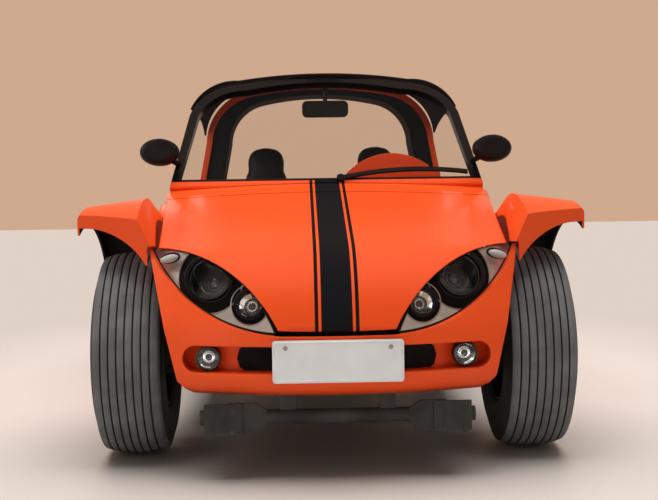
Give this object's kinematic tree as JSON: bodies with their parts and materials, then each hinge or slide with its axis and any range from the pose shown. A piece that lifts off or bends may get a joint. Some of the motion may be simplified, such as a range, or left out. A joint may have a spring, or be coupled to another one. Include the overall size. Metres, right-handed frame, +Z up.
{
  "type": "dune buggy",
  "caption": "Open dune buggy with a smooth sloping nose, almond lamp pods, wide cut-off wings, a soft roof between windscreen and hoop, and steered road wheels.",
  "frame": {"origin": "on the ground, middle of the overall length, on the centre plane", "axes": "+Z up, the car faces -Y, +X to its own left"},
  "size_m": [1.71, 3.4, 1.456],
  "materials": {
    "body_paint": "gloss lacquer over glass fibre",
    "satin_black": "satin black",
    "underbody": "matt black underseal",
    "soft_top": "coated cloth",
    "seat_cover": "grained black vinyl",
    "clear_glass": "clear",
    "red_lens": "clear red",
    "blank_plate": "plain white",
    "tyre_rubber": "matt",
    "wheel_metal": "satin black",
    "axle_metal": "satin black",
    "cast_metal": "as cast",
    "exhaust_metal": "dull"
  },
  "bodies": {
    "chassis": {"cabin_mirror": "satin_black", "controls": "satin_black", "cowl_panel": "body_paint", "dashboard": "body_paint", "engine": "cast_metal", "exhaust": "exhaust_metal", "firewall": "underbody", "floor_pan": "underbody", "fog_lamps": "clear_glass", "front_axle_beam": "axle_metal", "front_crossbar": "satin_black", "front_fender_left": "body_paint", "front_fender_right": "body_paint", "headlamp_lenses_left": "clear_glass", "headlamp_lenses_right": "clear_glass", "headlamp_panel_left": "satin_black", "headlamp_panel_right": "satin_black", "hoop_lining": "satin_black", "luggage_tub": "underbody", "nose_panel": "body_paint", "number_plate": "blank_plate", "rear_bench": "seat_cover", "rear_bulkhead": "underbody", "rear_bumper": "satin_black", "rear_deck": "body_paint", "rear_fender_left": "body_paint", "rear_fender_right": "body_paint", "rear_suspension": "axle_metal", "roof_canopy": "soft_top", "seat_left": "seat_cover", "seat_right": "seat_cover", "side_mirror_left": "satin_black", "side_mirror_right": "satin_black", "side_wall_left": "body_paint", "side_wall_right": "body_paint", "steering_column": "satin_black", "tail_lamps": "red_lens", "targa_hoop": "body_paint", "transaxle": "cast_metal", "windscreen_frame": "satin_black", "windscreen_glass": "clear_glass", "wiper": "satin_black"},
    "bonnet": {"bonnet": "body_paint"},
    "engine_lid": {"engine_lid": "body_paint"},
    "steering_wheel": {"steering_wheel": "satin_black"},
    "steering_link": {"steering_link": "axle_metal"},
    "knuckle_left": {"knuckle_left": "axle_metal"},
    "knuckle_right": {"knuckle_right": "axle_metal"},
    "wheel_front_left": {"tyre_front_left": "tyre_rubber", "rim_front_left": "wheel_metal"},
    "wheel_front_right": {"tyre_front_right": "tyre_rubber", "rim_front_right": "wheel_metal"},
    "wheel_rear_left": {"tyre_rear_left": "tyre_rubber", "rim_rear_left": "wheel_metal"},
    "wheel_rear_right": {"tyre_rear_right": "tyre_rubber", "rim_rear_right": "wheel_metal"}
  },
  "joints": [
    {"name": "bonnet_hinge", "type": "hinge", "parent": "chassis", "child": "bonnet", "pos_m": [0, -1.6277, 0.468], "axis": [1, 0, 0], "range_deg": [0, 75]},
    {"name": "engine_lid_hinge", "type": "hinge", "parent": "chassis", "child": "engine_lid", "pos_m": [0, 0.9303, 0.90139], "axis": [1, 0, 0], "range_deg": [0, 60]},
    {"name": "steer_left", "type": "hinge", "parent": "chassis", "child": "knuckle_left", "pos_m": [0.59, -1.1467, 0.35], "axis": [0, 0, 1], "range_deg": [-28, 28]},
    {"name": "steer_right", "type": "hinge", "parent": "chassis", "child": "knuckle_right", "pos_m": [-0.59, -1.1467, 0.35], "axis": [0, 0, 1], "range_deg": [-28, 28]},
    {"name": "link_slide", "type": "slide", "parent": "chassis", "child": "steering_link", "axis": [1, 0, 0], "range_m": [-0.0465, 0.0465]},
    {"name": "steering_wheel_turn", "type": "hinge", "parent": "chassis", "child": "steering_wheel", "pos_m": [0.27, -0.2997, 0.85], "axis": [0, 0.8829, 0.4695], "range_deg": [-393, 393]},
    {"name": "spin_front_left", "type": "hinge", "parent": "knuckle_left", "child": "wheel_front_left", "pos_m": [0.68, -1.1467, 0.35], "axis": [1, 0, 0], "continuous": true},
    {"name": "spin_front_right", "type": "hinge", "parent": "knuckle_right", "child": "wheel_front_right", "pos_m": [-0.68, -1.1467, 0.35], "axis": [1, 0, 0], "continuous": true},
    {"name": "spin_rear_left", "type": "hinge", "parent": "chassis", "child": "wheel_rear_left", "pos_m": [0.67, 0.9533, 0.35], "axis": [1, 0, 0], "continuous": true},
    {"name": "spin_rear_right", "type": "hinge", "parent": "chassis", "child": "wheel_rear_right", "pos_m": [-0.67, 0.9533, 0.35], "axis": [1, 0, 0], "continuous": true}
  ],
  "couplings": [
    {"joint": "steer_right", "follows": "steer_left", "ratio": 1},
    {"joint": "link_slide", "follows": "steer_left", "m_per_rad": -0.093},
    {"joint": "steering_wheel_turn", "follows": "steer_left", "ratio": 14}
  ]
}
